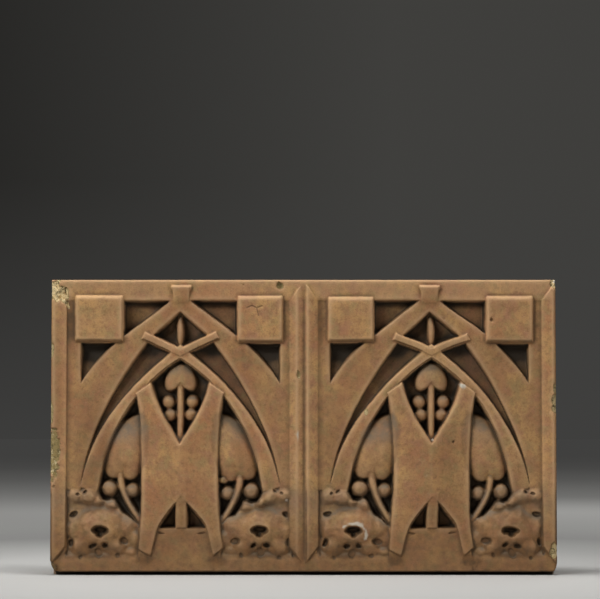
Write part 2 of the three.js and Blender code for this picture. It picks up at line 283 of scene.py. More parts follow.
def noise(x, z, cell, seed):
    """Smooth random field between -1 and 1, with bumps about `cell` across."""
    table = np.random.default_rng(seed).uniform(-1, 1, (256, 256))
    column = np.floor(x / cell).astype(int)
    row = np.floor(z / cell).astype(int)
    across = smooth_step(0, 1, x / cell - column)
    up = smooth_step(0, 1, z / cell - row)
    left, right = column % 256, (column + 1) % 256
    low, high = row % 256, (row + 1) % 256
    below = mixed(table[low, left], table[low, right], across)
    above = mixed(table[high, left], table[high, right], across)
    return mixed(below, above, up)


def rough_noise(x, z, cell, seed, octaves=3):
    return sum(noise(x, z, cell / 2 ** i, seed + i) / 2 ** i for i in range(octaves))


def blurred(grid, reach):
    """Three box blurs of `reach` cells either way, close to a Gaussian."""
    for _ in range(3):
        for axis in (0, 1):
            pads = [(0, 0), (0, 0)]
            pads[axis] = (reach + 1, reach)
            sums = np.cumsum(np.pad(grid, pads, mode="edge"), axis=axis)
            size = 2 * reach + 1
            high = np.take(sums, range(size, sums.shape[axis]), axis=axis)
            low = np.take(sums, range(sums.shape[axis] - size), axis=axis)
            grid = (high - low) / size
    return grid


def bezier(controls, steps=20):
    start, first, second, end = np.array(controls, float)
    t = np.linspace(0, 1, steps + 1)[:, None]
    s = 1 - t
    return s ** 3 * start + 3 * s * s * t * first + 3 * s * t * t * second + t ** 3 * end


def mirrored(points):
    return np.array(points)[::-1] * (-1, 1)


def inside(x, z, outline):
    """Distance to a closed outline, positive within it."""
    nearest = np.full(x.shape, np.inf)
    within = np.zeros(x.shape, bool)
    for (ax, az), (bx, bz) in zip(outline, np.roll(outline, -1, axis=0)):
        ex, ez = bx - ax, bz - az
        length = ex * ex + ez * ez
        if length == 0:
            continue
        wx, wz = x - ax, z - az
        along = np.clip((wx * ex + wz * ez) / length, 0, 1)
        nearest = np.minimum(nearest, (wx - ex * along) ** 2 + (wz - ez * along) ** 2)
        if ez != 0:
            within ^= ((az > z) != (bz > z)) & (wx < ex * wz / ez)
    return np.where(within, 1, -1) * np.sqrt(nearest)


def slab(distance, top, slope=WALL_SLOPE, arris=ARRIS):
    """Form with a given top and drafted sides, from the distance inside its outline."""
    return smooth_min(top, top + slope * distance, arris)


def chamfered(distance, top, chamfer):
    edge = smooth_min(top, top - chamfer + distance, SOFT)
    return smooth_min(edge, top - chamfer + WALL_SLOPE * distance, SOFT)


def straight_bar(x, z, bar):
    """Distance inside a straight bar that runs between two points."""
    start, end = np.array(bar["from"], float), np.array(bar["to"], float)
    run = np.linalg.norm(end - start)
    along_x, along_z = (end - start) / run
    along = (x - start[0]) * along_x + (z - start[1]) * along_z
    across = (z - start[1]) * along_x - (x - start[0]) * along_z
    ends = np.minimum(along, run - along)
    return np.minimum(bar["width"] / 2 - np.abs(across), ends)


def ellipse_reach(x, z, at, size, turn=0):
    """0 at an ellipse's centre and 1 on its edge; the ellipse is turned by `turn` degrees."""
    c, s = math.cos(math.radians(turn)), math.sin(math.radians(turn))
    dx, dz = x - at[0], z - at[1]
    return np.hypot((dx * c + dz * s) / size[0], (dz * c - dx * s) / size[1])


def dome(reach, size, shoulder, crown, power=2):
    """Rounded boss: it curves from the crown to the shoulder, then drops in a steep skirt."""
    cap = shoulder + (crown - shoulder) * np.clip(1 - reach ** power, 0, 1) ** (1 / power)
    return cap - WALL_SLOPE * size * np.maximum(reach - 1, 0)


def rounded_fall(distance, edge):
    """Drop of a rounded edge, from 0 a given run inside an outline to a given fall at it."""
    run, fall = edge
    lean = np.clip(1 - distance / run, 0, 1)
    return fall * (1 - np.sqrt(1 - lean * lean))


def outline_reach(x, z, outline, centre):
    """0 at the centre and 1 on an outline that can be seen whole from that centre."""
    offsets = outline - centre
    angles = np.arctan2(offsets[:, 1], offsets[:, 0])
    order = np.argsort(angles)
    radii = np.hypot(offsets[:, 0], offsets[:, 1])
    dx, dz = x - centre[0], z - centre[1]
    edge = np.interp(np.arctan2(dz, dx), angles[order], radii[order], period=2 * math.pi)
    return np.hypot(dx, dz) / edge


def frame_bars(x, z):
    """Ridged uprights with mitred ends: one at each end of the block, two at the middle."""
    height = np.full(x.shape, -np.inf)
    foot, head = BAR_MITRES["foot"], BAR_MITRES["head"]
    for bar in BARS:
        inward = math.copysign(1, bar["width"])
        width, ridge = abs(bar["width"]), abs(bar["ridge"])
        from_edge = inward * (x - bar["edge"])
        outline = np.array((
            (-BAR_OVERRUN, foot[0]), (0, foot[0]), (width, foot[1]),
            (width, head[1]), (0, head[0]), (-BAR_OVERRUN, head[0]),
        ))
        outer, inner = bar["levels"]
        outer_side = (ridge - from_edge) * outer / ridge
        inner_side = (from_edge - ridge) * inner / (width - ridge)
        top = smooth_min(outer_side, inner_side, CRISP)
        height = np.maximum(height, slab(inside(from_edge, z, outline), top, BAR_SLOPE, CRISP))
    return height


def frame_bands(z):
    top = ramp((TOP_BAND_FOOT, TOP_BAND_LEVELS[0]), (HEIGHT, TOP_BAND_LEVELS[1]), z)
    bottom = np.full(z.shape, float(BOTTOM_BAND_LEVEL))
    low = slab(BOTTOM_BAND - z, bottom, BOTTOM_BAND_SLOPE, BOTTOM_BAND_SOFTNESS)
    return np.maximum(slab(z - TOP_BAND_FOOT, top), low)


def panel_field(u, z):
    """Flat field, open in the spandrels and under the outer arch."""
    spring = INTRADOS[3][0]
    side = OPENING_FOOT[0]
    foot = (OPENING_FOOT, (side, OPENING_SHOULDER), (spring, OPENING_SHOULDER))
    right = np.vstack((foot, bezier(INTRADOS)[::-1], INTRADOS_APEX))
    opening = np.vstack((right, mirrored(right)[1:]))
    open_by = np.maximum(inside(u, z, opening), inside(np.abs(u), z, spandrel_outline()))
    return slab(-open_by, np.full(u.shape, FIELD))


def squares(x, z):
    """Pillow squares in the upper corners of the panels."""
    height = np.full(x.shape, -np.inf)
    edge_x, edge_z = SQUARE_EDGES
    for square in SQUARES:
        in_x = square["half"][0] - np.abs(x - square["at"][0])
        in_z = square["half"][1] - np.abs(z - square["at"][1])
        top = SQUARE_LEVEL - rounded_fall(in_x, edge_x) - rounded_fall(in_z, edge_z)
        height = np.maximum(height, top + WALL_SLOPE * np.minimum(np.minimum(in_x, in_z), 0))
    return height


def tabs(x, z):
    """Wedges over the apexes of the arches, leaning forward to a blunt lip."""
    rows, halves, levels = zip(*TAB_ROWS)
    off_axis = np.minimum(*(np.abs(x - axis) for axis in TAB_AXES))
    level = np.interp(z, rows, levels) - rounded_fall(rows[-1] - z, TAB_EDGE)
    within = np.minimum(np.minimum(np.interp(z, rows, halves) - off_axis, rows[-1] - z), z - rows[0])
    return slab(within, level, TAB_SLOPE, CRISP)


def ribs(a, z):
    outline = np.vstack((bezier(RIB_OUTER), bezier(RIB_INNER)[::-1]))
    rib = slab(inside(a, z, outline), ramp(*RIB_LEVELS, z))
    arm = chamfered(straight_bar(a, z, ARM), ARM["level"], ARM["chamfer"])
    return smooth_max(rib, arm, CRISP)


def spandrel_outline():
    return np.vstack((bezier(EXTRADOS), (SPANDREL_SIDE, EXTRADOS[0][1])))


def raised_floors(a, z):
    """Sloping floors of the spandrels, and of the channel between the outer arch and the rib."""
    channel = np.vstack((bezier(RIB_OUTER), bezier(INTRADOS)[::-1]))
    floors = (
        slab(inside(a, z, outline) + FLOOR_OVERLAP, ramp(*levels, z), FLOOR_SLOPE, FLOOR_SOFTNESS)
        for outline, levels in ((channel, CHANNEL), (spandrel_outline(), SPANDREL))
    )
    return np.maximum(*floors)


def shield(u, z):
    """Shield folded along the panel axis, with two raised arms and two legs."""
    left, right = (
        np.vstack((bezier(SHIELD_NOTCH), bezier(SHIELD_SIDES[hand]), bezier(SHIELD_LEGS[hand])))
        for hand in ("left", "right")
    )
    outline = np.vstack((right, mirrored(left)))
    top = PROUD - np.interp(z, *zip(*SHIELD_FALLS)) * np.sqrt(u * u + SHIELD_FOLD_SOFTNESS)
    return slab(inside(u, z, outline), top)


def apron(u, z):
    """Flat between the feet of the shield, with an upright bar to its crotch."""
    top = ramp(APRON["top"], APRON["foot"], z)
    bar = chamfered(straight_bar(u, z, LEG_BAR), ramp(*LEG_BAR_LEVELS, z), LEG_BAR["chamfer"])
    within = np.minimum(APRON["top"][0] - z, APRON["half"] - np.abs(u))
    return smooth_max(slab(within, top), bar, 1.5 * SOFT)


def leaf_reach(x, z, leaf):
    """0 in the middle of a spade-shaped leaf and 1 on its outline."""
    outer, inner = (bezier(leaf[side])[1:] for side in ("outer", "inner"))
    outline = np.vstack((leaf["outer"][0], inner, (0, 0), outer[::-1]))
    c, s = math.cos(math.radians(leaf["lean"])), math.sin(math.radians(leaf["lean"]))
    turned = np.vstack((outline, (0, leaf["middle"]))) @ np.array(((c, s), (-s, c))) + leaf["notch"]
    return outline_reach(x, z, turned[:-1], turned[-1])


def spade_leaf(x, z, leaf):
    return dome(leaf_reach(x, z, leaf), leaf["skirt"], leaf["shoulder"], leaf["crown"], SPADE_ROUNDNESS)


def berry(x, z, at, radius):
    reach = ellipse_reach(x, z, at, (radius, radius))
    return dome(reach, radius, BERRY_CENTRE, BERRY_CENTRE + radius)


def side_stem(a, z):
    path = bezier(SIDE_STEM["path"])
    nearest = np.full(a.shape, np.inf)
    for point in path:
        nearest = np.minimum(nearest, np.hypot(a - point[0], z - point[1]))
    radius = SIDE_STEM["radius"]
    return dome(nearest / radius, radius, SIDE_STEM["level"], SIDE_STEM["level"] + radius)


def side_drop(u):
    """How much lower the sprig on the right of a panel hangs than the one on the left."""
    return SIDE_DROP * smooth_step(-SIDE_DROP_BLEND, SIDE_DROP_BLEND, u)


def sprigs(u, z):
    a = np.abs(u)
    finial = dome(ellipse_reach(u, z, FINIAL["at"], FINIAL["size"]), FINIAL["size"][0],
                  FINIAL["shoulder"], FINIAL["crown"])
    stem_radius = CENTRE_STEM["width"] / 2
    stem_reach = 1 - straight_bar(u, z, CENTRE_STEM) / stem_radius
    stem_low = CENTRE_STEM["level"] - stem_radius
    drop = side_drop(u)
    low = z + drop * smooth_step(*SIDE_DROP_HEIGHTS, z)
    forms = [
        finial,
        spade_leaf(u, z, CENTRE_LEAF),
        dome(stem_reach, stem_radius, stem_low, CENTRE_STEM["level"]),
        spade_leaf(a, mixed(z, low, SIDE_LEAF_SHARE), SIDE_LEAF),
        side_stem(a, low),
    ]
    forms += [berry(a, z, at, radius) for at, radius in CENTRE_BERRIES]
    forms += [berry(a, z + drop, at, radius) for at, radius in SIDE_BERRIES]
    return np.maximum.reduce(forms)


def mound(reach, shoulder, crown):
    """Soft swelling that falls from its crown to the shoulder at its edge, and on beyond it."""
    return crown - (crown - shoulder) * reach * reach


def leaf_across(x, u):
    """Distance of the corner leaves' forms from the panel axis, a little different in each corner."""
    left, right = (np.where(x < 0, *shifts) for shifts in zip(*LEAF_SHIFTS))
    return np.abs(u) + np.where(u < 0, left, right)


def corner_leaf(x, u, z):
    """Curled leaf in a lower corner of a panel: swellings over a low bed, rougher than the rest."""
    a = np.abs(u)
    dropped = smooth_step(*LEAF_DROP_ZONE["up"], z) * smooth_step(*LEAF_DROP_ZONE["across"], a)
    wander_x, wander_z = (LEAF_WANDER * noise(x, z, LEAF_WANDER_CELL, seed) for seed in (31, 32))
    low = z + side_drop(u) * dropped + wander_z
    edge = inside(a + wander_x, low, np.array(LEAF_BED, float))
    edge = edge + LEAF_ROUGHNESS * noise(x, z, 4, 33)
    across = leaf_across(x, u) + wander_x
    leaf = np.full(x.shape, float(LEAF_BED_LEVEL))
    for at, size, crown in LEAF_LOBES:
        lobe = mound(ellipse_reach(across, low, at, size), LEAF_SHOULDER, crown)
        leaf = smooth_max(leaf, lobe, LEAF_BLEND)
    leaf = leaf + LEAF_ROUGHNESS * rough_noise(x, z, 9, 41)
    return smooth_min(leaf, LEAF_BED_LEVEL + WALL_SLOPE * edge, 2 * SOFT)


def pierced(height, x, u, z):
    """The face with the holes between the lobes of the corner leaves cut into it."""
    across = leaf_across(x, u) + HOLE_WANDER * noise(x, z, HOLE_WANDER_CELL, 35)
    up = z + HOLE_WANDER * noise(x, z, HOLE_WANDER_CELL, 36)
    for at, size, turn, floor in LEAF_HOLES:
        reach = ellipse_reach(across, up, at, size, turn)
        hole = floor + HOLE_SLOPE * np.maximum(reach - HOLE_FLOOR_REACH, 0)
        height = np.where(reach < HOLE_FAR, smooth_min(height, hole, HOLE_SOFTNESS), height)
    for at, size, turn in APRON_NICKS:
        nick = smooth_step(*APRON_NICK_EDGE, ellipse_reach(u, z, at, size, turn))
        height = height - APRON_NICK_DEPTH * nick
    return height


def broken_lump(x, z):
    """Stump of a lobe that broke off beside one leaf."""
    lump = BROKEN_LUMP
    reach = ellipse_reach(x, z, lump["at"], lump["size"]) + lump["ragged"] * rough_noise(x, z, 4, 45)
    return dome(np.maximum(reach, 0), lump["skirt"], lump["shoulder"], lump["crown"])


def relief(x, z):
    """Height of the carved face before it was damaged, and the share of bare ground."""
    sway, shake = HAND_SWAY["cell"], HAND_SHAKE["cell"]
    hand_x = x + HAND_SWAY["across"] * noise(x, z, sway, 3) + HAND_SHAKE["reach"] * noise(x, z, shake, 9)
    hand_z = z + HAND_SWAY["up"] * noise(x, z, sway, 4) + HAND_SHAKE["reach"] * noise(x, z, shake, 10)
    u = hand_x - np.where(x < 0, *PANEL_AXES)
    on_right = np.where(x < 0, 0, 1)
    inner = smooth_step(*LEAN_ZONE["across"], np.abs(u))
    inner = inner * smooth_step(*LEAN_ZONE["top"], z) * smooth_step(*LEAN_ZONE["foot"], z)
    u = u - RIGHT_PANEL_LEAN * on_right * inner
    a = np.abs(u)
    on_arm = smooth_step(*ARM_ZONE["across"], a) * smooth_step(*ARM_ZONE["up"], z)
    arm_z = hand_z + RIGHT_ARM_DROP * on_right * on_arm
    ground = GROUND + GROUND_ROUGHNESS["reach"] * rough_noise(x, z, GROUND_ROUGHNESS["cell"], 5)
    floor = smooth_max(ground, raised_floors(a, hand_z), 2 * SOFT)
    height = floor
    for form, blend in (
        (panel_field(u, hand_z), FILLET),
        (sprigs(u, hand_z), CRISP),
        (broken_lump(x, z), CRISP),
        (apron(u, hand_z), SOFT),
        (corner_leaf(x, u, hand_z), SOFT),
        (ribs(a, arm_z), SOFT),
        (shield(u, hand_z), SOFT),
        (squares(hand_x, hand_z), CRISP),
        (tabs(hand_x, hand_z), CRISP),
        (frame_bands(hand_z), SOFT),
    ):
        height = smooth_max(height, form, blend)
    height = smooth_max(pierced(height, x, u, hand_z), frame_bars(x, z), BAR_FILLET)
    bare = smooth_step(*BARE_GROUND, height - floor)
    height += sum(reach * noise(x, z, cell, seed) for reach, cell, seed in SURFACE_UNEVENNESS)
    return height, bare


def face_out(height):
    """How far the face looks straight out, 1 on the flat and 0 on a wall, and its slope upwards."""
    slope_z, slope_x = np.gradient(height, z_lines, x_lines)
    return 1 / np.sqrt(1 + slope_x ** 2 + slope_z ** 2), slope_z


def smooth_walls(height):
    """The face with its walls smoothed, so that they don't show the steps of the height map."""
    steep = blurred(smooth_step(*STEEP, face_out(height)[0]), 1)
    return mixed(height, blurred(height, 1), steep)


def round_over(height, distance, radius):
    lean = np.clip(radius - distance, 0, radius)
    return height - radius + np.sqrt(radius * radius - lean * lean)


x_lines = np.linspace(-WIDTH / 2, WIDTH / 2, COLUMNS + 1)
z_lines = np.linspace(REBATE_HEIGHT, HEIGHT, ROWS + 1)
face_x, face_z = np.meshgrid(x_lines, z_lines)
face, bare_ground = relief(face_x, face_z)
face = smooth_walls(face)
face = round_over(face, HEIGHT - face_z, TOP_ROUND)
face = round_over(face, face_z - REBATE_HEIGHT, FOOT_ROUND)
face = round_over(face, WIDTH / 2 - np.abs(face_x), END_ROUND)


# Damage: places, half-sizes and turns on the face, with the depth broken away and how pale it is
CHIPS = (
    ((-298, 341), (11, 14.5), 30, 3.6, 1),
    ((-290, 330), (3, 11), 38, 1.6, 0.9),
    ((-304, 271), (3.4, 10), 0, 2, 0.7),
    ((-303, 146), (9.5, 36), 0, 1.8, 0.5),
    ((-305, 196), (3.4, 16), 0, 1.4, 0.6),
    ((-304, 7), (7, 9), 0, 6, 0.2),
    ((303, 352), (5, 7), 0, 4, 0.9),
    ((301.5, 29), (5.5, 10), 0, 3, 0.75),
    ((303, 205), (3.4, 12), 0, 2.4, 0.75),
    ((303.5, 225), (2, 6), 0, 1.6, 0.6),
    ((-29, 349), (4.6, 4), 0, 3, 0.5),
    ((-6, 241), (2.2, 6), 0, 1.6, 0.6),
    ((76, 196), (2.6, 3.6), 0, 1.2, 0.7),
    ((-97.5, 113.5), (4, 3.6), 0, 0.4, 0.3),
)
CRACKS = (
    ((-68.5, 321.5), (-62.4, 324.5), (-56.4, 321.5), (-50.3, 323.9)),
    ((-56.4, 321.5), (-54.5, 311.9)),
)
PITS = (
    ((227, 307), 2.2, 2), ((180.5, 160), 1.7, 1.6), ((-73, 350), 1.2, 1), ((170, 308), 1.3, 1),
)
CHIP_EDGE = {"ragged": 0.3, "cell": 5, "fade": (1.05, 0.7)}
CHIP_FLOOR = {"rough": 0.35, "cell": 3}
PIT_EDGE = (1.1, 0.5)
CRACK_EDGE = (1.1, 0.2)
CRACK_DEPTH = 0.6


def line_away(points):
    """Distance of every place on the face from an open line."""
    return np.abs(inside(face_x, face_z, np.array(points + points[-2:0:-1], float)))


def damaged(height):
    """The face with its chips, pits and cracks, and how far each place is chipped or cracked."""
    chipped, cracked = np.zeros(height.shape), np.zeros(height.shape)
    ragged = CHIP_EDGE["ragged"] * rough_noise(face_x, face_z, CHIP_EDGE["cell"], 51)
    rough = 1 + CHIP_FLOOR["rough"] * rough_noise(face_x, face_z, CHIP_FLOOR["cell"], 61)
    for at, size, turn, depth, pale in CHIPS:
        reach = ellipse_reach(face_x, face_z, at, size, turn) + ragged
        share = smooth_step(*CHIP_EDGE["fade"], reach)
        height = height - depth * share * rough
        chipped = np.maximum(chipped, pale * share)
    for at, radius, depth in PITS:
        reach = ellipse_reach(face_x, face_z, at, (radius, radius))
        height = height - depth * smooth_step(*PIT_EDGE, reach)
    for line in CRACKS:
        cracked = np.maximum(cracked, smooth_step(*CRACK_EDGE, line_away(line)))
    return height - CRACK_DEPTH * cracked, chipped, cracked


face, chip_mask, crack_mask = damaged(face)

# What the dirt, the wear and the painted light and shade go by: slopes, hollows, creases and places on the
# panels
CELL = WIDTH / COLUMNS
HOLLOW_REACH = 4
CREASE_REACH = 2
SPECKLE_CELL = 12
FOLIAGE_ZONE = {"across": (44, 52), "top": (108, 98), "foot": (8, 20)}
out, slope_z = face_out(face)
upward = -slope_z * out
wide_hollow = blurred(face, round(HOLLOW_REACH / CELL)) - face
crease = blurred(face, round(CREASE_REACH / CELL)) - face
speckle = rough_noise(face_x, face_z, SPECKLE_CELL, 71)
panel_u = face_x - np.where(face_x < 0, *PANEL_AXES)
panel_a = np.abs(panel_u)
foliage = smooth_step(*FOLIAGE_ZONE["across"], panel_a)
foliage *= smooth_step(*FOLIAGE_ZONE["top"], face_z) * smooth_step(*FOLIAGE_ZONE["foot"], face_z)

# Soot and dirt on the sunk ground, darker the deeper it lies, with painted shade in the hollows, in the
# creases and on the steep walls that go down to the ground
# Changes to the ground's darkening, on the panels: the dark patches beneath the top band, under the
# squares and under the arms are painted shadow; the others make the ground lighter in the upper spandrels,
# between the shield's legs and at the crown
GROUND_TONES = (
    ((45, 312), (36, 22), -0.3),
    ((58, 332), (64, 9), 0.3),
    ((103, 272), (26, 16), 0.5),
    ((38, 276), (17, 15), 0.35),
    ((0, 76), (34, 24), -0.42),
    ((0, 295), (24, 22), -0.05),
)
GROUND_DIRT = ((-6, 0.2), (GROUND, 0.8))
DIRT_AND_SHADE = {"speckle": 0.1, "wall": 0.5, "crack": 0.35, "crease": 0.42, "off_foliage": 0.35, "off_ground": 0.7}


def dirt_and_shade():
    sunk = ramp(*GROUND_DIRT, face)
    for at, size, change in GROUND_TONES:
        sunk += change * smooth_step(1.25, 0.6, ellipse_reach(panel_a, face_z, at, size))
    on_ground = bare_ground * (sunk + DIRT_AND_SHADE["speckle"] * speckle)
    open_to_it = (1 - DIRT_AND_SHADE["off_foliage"] * foliage) * (1 - DIRT_AND_SHADE["off_ground"] * bare_ground)
    # Painted shade in the hollows and creases and on the walls going down into the relief
    painted_shade_in_hollows = open_to_it * np.clip((wide_hollow - 1) / 8, 0, 1)
    painted_shade_in_creases = np.clip((crease - 0.2) / 2.2, 0, DIRT_AND_SHADE["crease"]) * smooth_step(-14, -10, face)
    painted_shade_on_walls = DIRT_AND_SHADE["wall"] * smooth_step(0.5, 0.25, out) * smooth_step(-4.5, -10, face)
    in_cracks = DIRT_AND_SHADE["crack"] * crack_mask
    return np.clip(on_ground + painted_shade_in_hollows + painted_shade_in_creases + in_cracks + painted_shade_on_walls, 0, 1)


# Brown grime on the field and in a few stained places, darker towards the foot, with painted shade under
# raised forms, on the foliage, round the rims of the leaves and beside the bars
STAINS = (
    ((-281, 306), (7, 32), 0.9),
    ((21, 306), (5, 32), 0.7),
    # Dark spots under the shield's feet: painted shade beneath them
    ((-190, 19), (13, 7), 0.9),
    ((-104, 18), (14, 7), 0.9),
    ((110, 18), (13, 7), 0.8),
    ((203, 18), (14, 7), 0.9),
    # Darkening over the lower part of the corner leaves: painted shade where they curve under
    ((-252, 30), (30, 12), 0.5),
    ((-52, 30), (30, 12), 0.5),
    ((50, 30), (30, 12), 0.5),
    ((250, 30), (30, 12), 0.6),
    ((-255, 150), (26, 75), 0.5),
    ((40, 150), (24, 60), 0.3),
    ((-298, 200), (8, 170), 0.4),
    ((1, 178), (2.6, 190), 0.45),
    ((-300, 9), (10, 12), 0.9),
    ((-149, 130), (46, 90), 0.22),
    ((152, 130), (46, 90), 0.2),
    ((176, 135), (24, 70), 0.3),
    ((-232, 150), (18, 40), 0.25),
    ((-70, 150), (18, 40), 0.25),
    ((250, 66), (32, 15), 0.35),
)
DARKENING_BY_HEIGHT = ((10, 0.95), (38, 0.85), (75, 0.36), (120, 0))
GRIME_AND_SHADE = {
    "field": 0.3, "speckle": 0.12, "leaf": 0.55, "berry": 0.38, "arm": 0.35, "valley": 0.45,
    "under": 1.2, "off_foliage": 1.1, "lit_bar": 0.3, "shaded_bar": 0.7,
}
GRIME_AND_SHADE_FULL = 1.45
FOLIAGE_VALLEY = ((100, 83), (36, 6))
ARM_SPOT = ((27, 280), (25, 6.5), 25)


def grime_on_field():
    level = smooth_step(1.2, 0.4, np.abs(face - FIELD)) * smooth_step(0.9, 0.98, out)
    return GRIME_AND_SHADE["field"] * level * smooth_step(TOP_BAND_FOOT + 2, TOP_BAND_FOOT, face_z)


# Painted shade on the slopes of the corner foliage and in the valley above its main swelling
def painted_shade_on_foliage():
    valley = ellipse_reach(panel_a, face_z, *FOLIAGE_VALLEY) + 0.3 * speckle
    return foliage * (smooth_step(0.97, 0.7, out) + GRIME_AND_SHADE["valley"] * smooth_step(1.2, 0.3, valley))


# Painted shade on the undersides of raised forms, less on the foliage, and a darker spot along each arm
def painted_shade_under_and_arm_spot():
    under = smooth_step(-0.08, -0.5, upward) * smooth_step(-7, -2, face) * smooth_step(332, 324, face_z)
    on_arm = smooth_step(1.1, 0.7, ellipse_reach(panel_a, face_z, *ARM_SPOT)) * smooth_step(-6, -3, face)
    return (GRIME_AND_SHADE["under"] - GRIME_AND_SHADE["off_foliage"] * foliage) * under + GRIME_AND_SHADE["arm"] * on_arm


# Painted shade round the rims of the leaves, and the berries made darker
def leaf_rim_shade_and_dark_berries():
    total = np.zeros(face.shape)
    for across, leaf in ((panel_u, CENTRE_LEAF), (panel_a, SIDE_LEAF)):
        reach = leaf_reach(across, face_z, leaf)
        total += GRIME_AND_SHADE["leaf"] * smooth_step(0.6, 0.98, reach) * smooth_step(1.08, 1, reach)
    low = face_z + side_drop(panel_u) * smooth_step(*SIDE_DROP_HEIGHTS, face_z)
    for at, radius in CENTRE_BERRIES + SIDE_BERRIES:
        total += GRIME_AND_SHADE["berry"] * smooth_step(1.1, 0.9, ellipse_reach(panel_a, low, at, (radius, radius)))
    return total


# Painted shadow on the field beside the inner edge of each bar, heavier where the bar stands between it
# and the light
def painted_shadow_beside_bars():
    total = np.zeros(face.shape)
    for bar in BARS:
        beside = math.copysign(1, bar["width"]) * (face_x - bar["edge"] - bar["width"])
        share = GRIME_AND_SHADE["shaded_bar" if bar["width"] > 0 else "lit_bar"]
        total += share * smooth_step(9, 0, beside) * (beside > -0.5) * smooth_step(-3, -4, face)
    return total


def grime_and_shade():
    total = np.interp(face_z, *zip(*DARKENING_BY_HEIGHT)) + GRIME_AND_SHADE["speckle"] * speckle
    total += grime_on_field() + painted_shade_on_foliage() + painted_shade_under_and_arm_spot()
    total += leaf_rim_shade_and_dark_berries() + painted_shadow_beside_bars()
    for at, size, share in STAINS:
        total += share * smooth_step(1.1, 0.4, ellipse_reach(face_x, face_z, at, size) + 0.2 * speckle)
    return np.clip(total, 0, GRIME_AND_SHADE_FULL) / GRIME_AND_SHADE_FULL


# Grey dust on the shoulders of the leaves, berries and collars
DUST = {"leaf": 0.85, "shoulder": 0.95, "foliage": 0.35, "right_leaf": 0.4}
LEAF_DUST_EDGE = (1.05, 0.95)
SIDE_LEAF_DUST = (146, 176)
CENTRE_LEAF_DUST = (238, 256)
FOLIAGE_MOUND = ((97, 50), (33, 24))


def dust():
    leaf_tops = np.zeros(face.shape)
    for across, leaf, heights in (
        (panel_a, SIDE_LEAF, SIDE_LEAF_DUST), (panel_u, CENTRE_LEAF, CENTRE_LEAF_DUST),
    ):
        on_leaf = smooth_step(*LEAF_DUST_EDGE, leaf_reach(across, face_z, leaf))
        leaf_tops = np.maximum(leaf_tops, on_leaf * smooth_step(*heights, face_z))
    leaf_tops *= mixed(DUST["right_leaf"], 1, smooth_step(20, -20, panel_u))
    shoulders = smooth_step(0.08, 0.5, upward) * smooth_step(0.3, 0.55, out) * smooth_step(-3.5, -6, face)
    shoulders *= 1 - smooth_step(34, 28, panel_a) * smooth_step(120, 100, face_z)
    off_mound = smooth_step(0.9, 1.3, ellipse_reach(panel_a, face_z, *FOLIAGE_MOUND) + 0.2 * speckle)
    total = DUST["leaf"] * leaf_tops * (1 - bare_ground) + DUST["shoulder"] * shoulders
    total += DUST["foliage"] * foliage * off_mound * smooth_step(50, 90, face_z)
    return np.clip(total, 0, 1)


# Wear and painted highlight: pale along the arrises, partly wear and partly painted highlight, with
# painted highlight added on the arrises that face up, down the ridges of the bars and over the top band,
# more to the right
WEAR_AND_HIGHLIGHT = {"arris": 0.7, "upper_arris": 1.1, "ridge": 0.9}
BAND_LIGHT = ((-WIDTH / 2, 0.25), (WIDTH / 2, 0.6))


def wear_and_highlight():
    total = -crease / 0.9 * (WEAR_AND_HIGHLIGHT["arris"] + WEAR_AND_HIGHLIGHT["upper_arris"] * smooth_step(-0.05, 0.45, upward))
    # Painted highlight down the ridges of the bars
    along_bar = smooth_step(16, 34, face_z) * smooth_step(350, 334, face_z)
    for bar in BARS:
        off_ridge = np.abs(face_x - bar["edge"] - bar["ridge"])
        total += WEAR_AND_HIGHLIGHT["ridge"] * smooth_step(1.9, 0.5, off_ridge) * along_bar
    # Painted light over the top band, stronger to the right
    total += ramp(*BAND_LIGHT, face_x) * smooth_step(TOP_BAND_FOOT, TOP_BAND_FOOT + 5, face_z)
    return np.clip(total, 0, 1)


# Spots of old plaster, and a broken ring of it round one eye of the foliage
PLASTER = (
    ((191.8, 227.5), (3.7, 3.3)), ((-20.5, 89.5), (1.6, 1.6)), ((146.5, 119), (1.3, 1.3)),
    ((-8, 169), (1.1, 1)), ((304, 354), (2, 2)), ((155.5, 162.5), (1.5, 1.1)),
)
PLASTER_RING = ((48.5, 58), (54.5, 61.5), (64.5, 62.5), (70.5, 59), (74.5, 54), (75.5, 48), (74.5, 43))
PLASTER_RAGGED = 0.25
RING_WIDTH = {"mean": 1.1, "ragged": 1.3}
RING_SHARE = 0.9


def plaster():
    ragged = PLASTER_RAGGED * rough_noise(face_x, face_z, 3, 81)
    ring_width = RING_WIDTH["mean"] + RING_WIDTH["ragged"] * rough_noise(face_x, face_z, 5, 85)
    total = RING_SHARE * smooth_step(0.4, -0.4, line_away(PLASTER_RING) - ring_width)
    for at, size in PLASTER:
        reach = ellipse_reach(face_x, face_z, at, size) + ragged
        total = np.maximum(total, smooth_step(1.1, 0.8, reach))
    return total


def grid_faces(rows, columns, first=0):
    """Triangles over a grid of rows and columns of cells, with diagonals alternating."""
    row, column = np.meshgrid(np.arange(rows), np.arange(columns), indexing="ij")
    a = first + row * (columns + 1) + column
    b, c, d = a + 1, a + columns + 2, a + columns + 1
    even = ((row + column) % 2 == 0)[..., None]
    one = np.where(even, np.stack((a, b, c), -1), np.stack((a, b, d), -1))
    two = np.where(even, np.stack((a, c, d), -1), np.stack((b, c, d), -1))
    return np.concatenate((one.reshape(-1, 3), two.reshape(-1, 3)))


def border(rows, columns, first=0):
    """Vertex numbers round the rim of a grid: along the foot, up the right, back, and down."""
    index = first + np.arange((rows + 1) * (columns + 1)).reshape(rows + 1, columns + 1)
    return np.concatenate((index[0, :-1], index[:-1, -1], index[-1, :0:-1], index[:0:-1, 0]))


